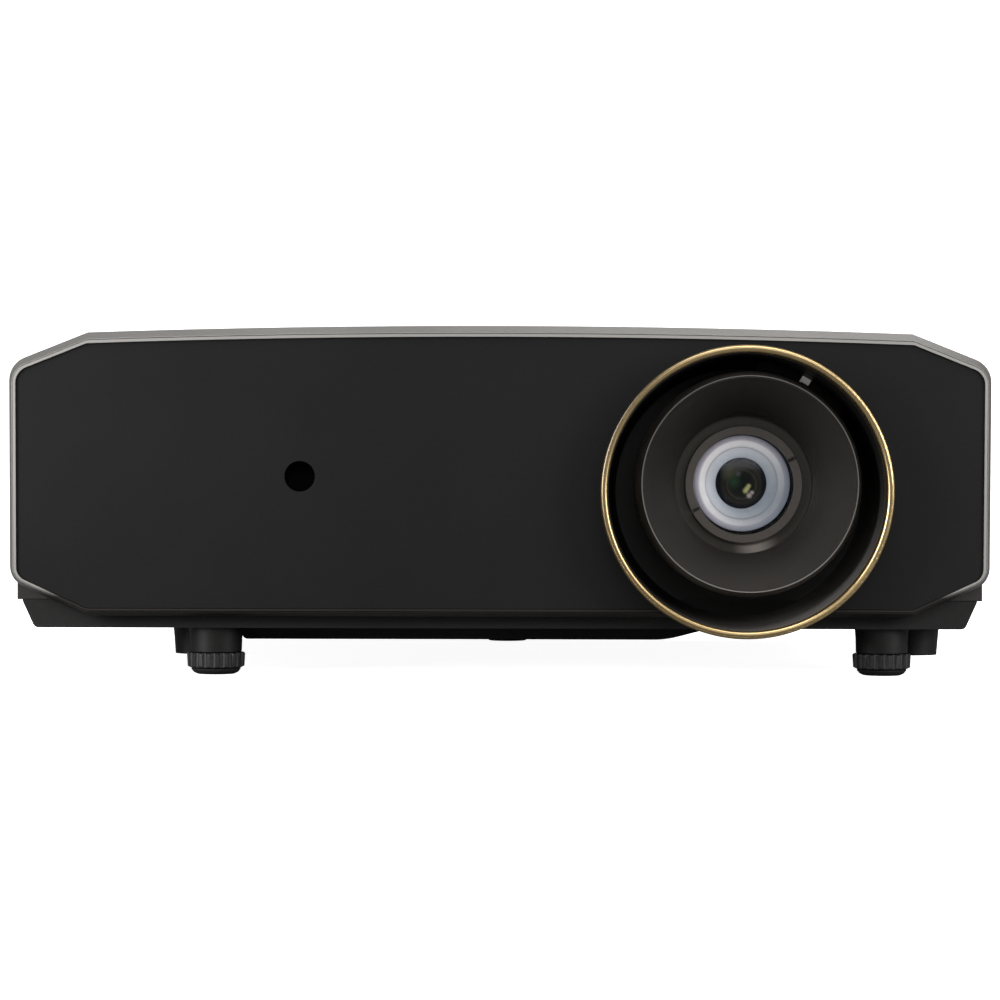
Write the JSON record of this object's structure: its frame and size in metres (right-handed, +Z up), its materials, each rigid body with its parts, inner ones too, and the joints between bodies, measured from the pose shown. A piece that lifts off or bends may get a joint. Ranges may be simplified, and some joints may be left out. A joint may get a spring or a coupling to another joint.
{
  "type": "home projector",
  "caption": "Home-cinema laser projector with a framed front, shifting zoom lens in a trim ring, keypad, sockets, fans and screw feet.",
  "frame": {"origin": "on the table under the middle of the projector's bounding box", "axes": "+X to the right seen from the front, the lens looks along -Y, +Z up"},
  "size_m": [0.405, 0.341, 0.145],
  "materials": {
    "frame_metal": "satin champagne grey metallic",
    "panel_black": "fine textured black",
    "cover_graphite": "satin graphite paint",
    "case_black": "moulded black",
    "grille_black": "moulded black",
    "gold": "polished gold anodised",
    "shroud_black": "satin black",
    "ir_dark": "dark infrared window",
    "board_green": "circuit board",
    "lens_black": "satin black lens paint",
    "lever_grey": "light grey",
    "cell_brown": "brown black anodised",
    "coated_glass": "coated optical glass",
    "alloy": "machined alloy",
    "steel": "bright steel",
    "brass": "brass",
    "key_black": "soft black",
    "key_panel_black": "gloss black",
    "light_clear": "frosted light pipe",
    "foot_black": "ribbed black",
    "foot_rubber": "black rubber",
    "socket_metal": "plated shells",
    "inlet_black": "black",
    "wheel_yellow": "phosphor coated disc",
    "wheel_blue": "dichroic glass",
    "dial_grey": "ribbed grey",
    "door_black": "satin"
  },
  "bodies": {
    "casing": {"front_frame": "frame_metal", "front_panel": "panel_black", "top_cover": "cover_graphite", "bottom_case": "case_black", "rear_panel": "case_black", "base_cover": "case_black", "side_grille_left": "grille_black", "side_grille_right": "grille_black", "lens_ring": "gold", "lens_shroud": "shroud_black", "ir_window": "ir_dark", "dial_well": "case_black", "shift_frame": "alloy", "guide_rods": "steel", "key_panel": "key_panel_black", "small_boards": "board_green", "status_lights": "light_clear", "rear_foot": "foot_rubber", "ceiling_bosses": "case_black", "mount_inserts": "brass", "casing_screws": "steel", "main_board": "board_green", "data_sockets": "socket_metal", "power_inlet": "inlet_black", "power_board": "board_green", "engine_housing": "alloy", "imager_unit": "alloy", "laser_bank": "alloy", "fan_frames": "case_black"},
    "door": {"shift_door": "door_black"},
    "dial_v": {"shift_dial_vertical": "dial_grey"},
    "dial_h": {"shift_dial_horizontal": "dial_grey"},
    "carriage_v": {"vertical_stage": "alloy"},
    "lens": {"horizontal_stage": "alloy", "lens_baffle": "shroud_black", "lens_barrel": "lens_black"},
    "focus": {"focus_ring": "lens_black"},
    "front_group": {"front_cell": "cell_brown", "front_element": "coated_glass", "retaining_ring": "cell_brown"},
    "zoom": {"zoom_ring": "lens_black", "zoom_lever": "lever_grey"},
    "zoom_slide": {"zoom_group": "coated_glass"},
    "foot_left": {"foot_stud_left": "foot_rubber"},
    "wheel_left": {"foot_wheel_left": "foot_black"},
    "foot_right": {"foot_stud_right": "foot_rubber"},
    "wheel_right": {"foot_wheel_right": "foot_black"},
    "phosphor": {"phosphor_wheel": "wheel_yellow"},
    "colour": {"colour_wheel": "wheel_blue"},
    "fan_intake": {"fan_rotor_intake": "case_black"},
    "fan_front": {"fan_rotor_exhaust_front": "case_black"},
    "fan_rear": {"fan_rotor_exhaust_rear": "case_black"},
    "key_power": {"key_power": "key_black"},
    "key_menu": {"key_menu": "key_black"},
    "key_back": {"key_back": "key_black"},
    "key_up": {"key_up": "key_black"},
    "key_down": {"key_down": "key_black"},
    "key_left": {"key_left": "key_black"},
    "key_right": {"key_right": "key_black"},
    "key_enter": {"key_enter": "key_black"}
  },
  "joints": [
    {"name": "door_slide", "type": "slide", "parent": "casing", "child": "door", "axis": [0, 1, 0], "range_m": [0, 0.042]},
    {"name": "shift_vertical", "type": "slide", "parent": "casing", "child": "carriage_v", "axis": [0, 0, 1], "range_m": [-0.0069, 0.0003]},
    {"name": "shift_horizontal", "type": "slide", "parent": "carriage_v", "child": "lens", "axis": [1, 0, 0], "range_m": [-0.0046, 0.0004]},
    {"name": "dial_vertical_turn", "type": "hinge", "parent": "casing", "child": "dial_v", "pos_m": [0.088, -0.066, 0.12], "axis": [0, 0, 1], "range_deg": [-600, 40]},
    {"name": "dial_horizontal_turn", "type": "hinge", "parent": "casing", "child": "dial_h", "pos_m": [0.118, -0.066, 0.12], "axis": [0, 0, 1], "range_deg": [-400, 40]},
    {"name": "focus_turn", "type": "hinge", "parent": "lens", "child": "focus", "pos_m": [0.1028, -0.14, 0.08], "axis": [0, 1, 0], "range_deg": [-45, 45]},
    {"name": "front_group_slide", "type": "slide", "parent": "lens", "child": "front_group", "axis": [0, 1, 0], "range_m": [-0.0015, 0.0015]},
    {"name": "zoom_turn", "type": "hinge", "parent": "lens", "child": "zoom", "pos_m": [0.1028, -0.14, 0.08], "axis": [0, 1, 0], "range_deg": [-20, 20]},
    {"name": "zoom_group_slide", "type": "slide", "parent": "lens", "child": "zoom_slide", "axis": [0, 1, 0], "range_m": [-0.006, 0.006]},
    {"name": "foot_left_slide", "type": "slide", "parent": "casing", "child": "foot_left", "axis": [0, 0, -1], "range_m": [0, 0.012]},
    {"name": "foot_left_turn", "type": "hinge", "parent": "foot_left", "child": "wheel_left", "pos_m": [-0.1193, -0.1315, 0.006], "axis": [0, 0, 1], "range_deg": [-5, 2900]},
    {"name": "foot_right_slide", "type": "slide", "parent": "casing", "child": "foot_right", "axis": [0, 0, -1], "range_m": [0, 0.012]},
    {"name": "foot_right_turn", "type": "hinge", "parent": "foot_right", "child": "wheel_right", "pos_m": [0.1607, -0.1315, 0.006], "axis": [0, 0, 1], "range_deg": [-5, 2900]},
    {"name": "phosphor_spin", "type": "hinge", "parent": "casing", "child": "phosphor", "pos_m": [0.0066, -0.01, 0.05], "axis": [1, 0, 0], "continuous": true},
    {"name": "colour_spin", "type": "hinge", "parent": "casing", "child": "colour", "pos_m": [0.0345, 0.014, 0.072], "axis": [1, 0, 0], "continuous": true},
    {"name": "fan_intake_spin", "type": "hinge", "parent": "casing", "child": "fan_intake", "pos_m": [0.181, 0.015, 0.077], "axis": [1, 0, 0], "continuous": true},
    {"name": "fan_front_spin", "type": "hinge", "parent": "casing", "child": "fan_front", "pos_m": [-0.181, -0.025, 0.077], "axis": [1, 0, 0], "continuous": true},
    {"name": "fan_rear_spin", "type": "hinge", "parent": "casing", "child": "fan_rear", "pos_m": [-0.181, 0.055, 0.077], "axis": [1, 0, 0], "continuous": true},
    {"name": "key_power_press", "type": "slide", "parent": "casing", "child": "key_power", "axis": [0, 0, -1], "range_m": [0, 0.0008], "stiffness_N_per_m": 1200, "springref_m": -0.0003},
    {"name": "key_menu_press", "type": "slide", "parent": "casing", "child": "key_menu", "axis": [0, 0, -1], "range_m": [0, 0.0008], "stiffness_N_per_m": 1200, "springref_m": -0.0003},
    {"name": "key_back_press", "type": "slide", "parent": "casing", "child": "key_back", "axis": [0, 0, -1], "range_m": [0, 0.0008], "stiffness_N_per_m": 1200, "springref_m": -0.0003},
    {"name": "key_up_press", "type": "slide", "parent": "casing", "child": "key_up", "axis": [0, 0, -1], "range_m": [0, 0.0008], "stiffness_N_per_m": 1200, "springref_m": -0.0003},
    {"name": "key_down_press", "type": "slide", "parent": "casing", "child": "key_down", "axis": [0, 0, -1], "range_m": [0, 0.0008], "stiffness_N_per_m": 1200, "springref_m": -0.0003},
    {"name": "key_left_press", "type": "slide", "parent": "casing", "child": "key_left", "axis": [0, 0, -1], "range_m": [0, 0.0008], "stiffness_N_per_m": 1200, "springref_m": -0.0003},
    {"name": "key_right_press", "type": "slide", "parent": "casing", "child": "key_right", "axis": [0, 0, -1], "range_m": [0, 0.0008], "stiffness_N_per_m": 1200, "springref_m": -0.0003},
    {"name": "key_enter_press", "type": "slide", "parent": "casing", "child": "key_enter", "axis": [0, 0, -1], "range_m": [0, 0.0008], "stiffness_N_per_m": 1200, "springref_m": -0.0003}
  ],
  "couplings": [
    {"joint": "dial_vertical_turn", "follows": "shift_vertical", "rad_per_m": 1500},
    {"joint": "dial_horizontal_turn", "follows": "shift_horizontal", "rad_per_m": 1500},
    {"joint": "front_group_slide", "follows": "focus_turn", "m_per_rad": 0.0019},
    {"joint": "zoom_group_slide", "follows": "zoom_turn", "m_per_rad": 0.017},
    {"joint": "foot_left_turn", "follows": "foot_left_slide", "rad_per_m": 4188.8},
    {"joint": "foot_right_turn", "follows": "foot_right_slide", "rad_per_m": 4188.8}
  ]
}
